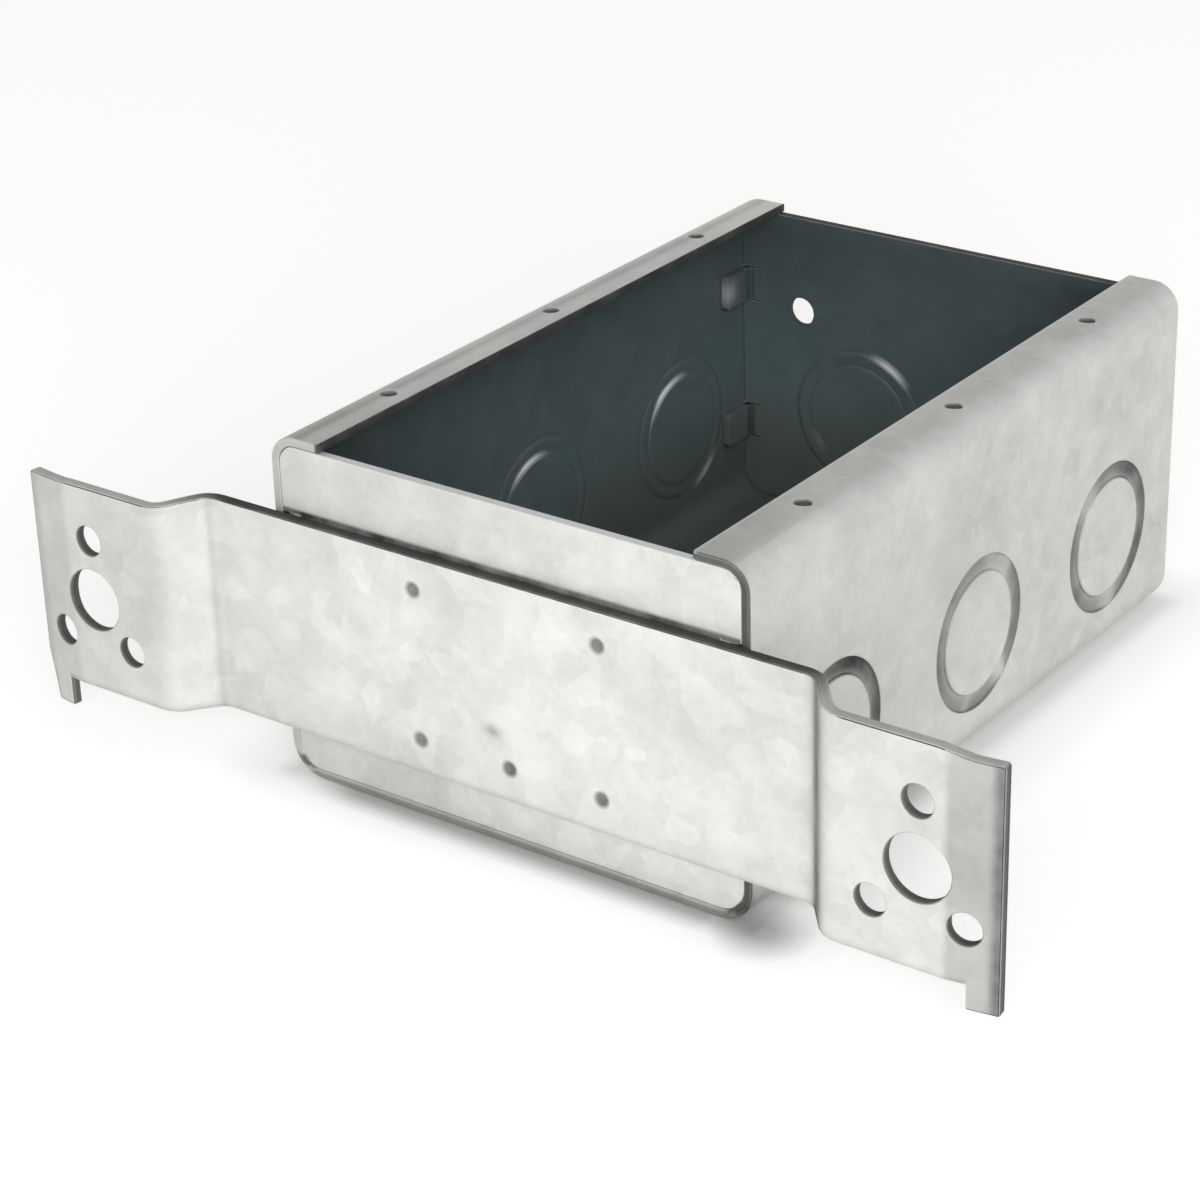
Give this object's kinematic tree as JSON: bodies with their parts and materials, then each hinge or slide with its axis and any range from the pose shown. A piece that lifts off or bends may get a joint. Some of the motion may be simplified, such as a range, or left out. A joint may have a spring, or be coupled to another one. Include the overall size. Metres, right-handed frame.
{
  "type": "new work outlet box",
  "caption": "Sheet-steel wiring box with an open mouth, rim flanges, knockouts and a stud bracket with pierced, joggled ears across one end.",
  "frame": {"origin": "middle of the floor's underside, between the two long sides and the two ends", "axes": "+X across the mouth and along the bracket, +Y along the row of gangs away from the bracket, +Z out of the open mouth"},
  "size_m": [0.1934, 0.1493, 0.0635],
  "materials": {
    "galvanised_body": "galvanised sheet, satin",
    "galvanised_plate": "galvanised sheet, satin",
    "galvanised_bracket": "galvanised sheet, satin"
  },
  "bodies": {
    "root": {"box_body": "galvanised_body", "near_end_plate": "galvanised_plate", "far_end_plate": "galvanised_plate", "stud_bracket": "galvanised_bracket"}
  },
  "joints": []
}
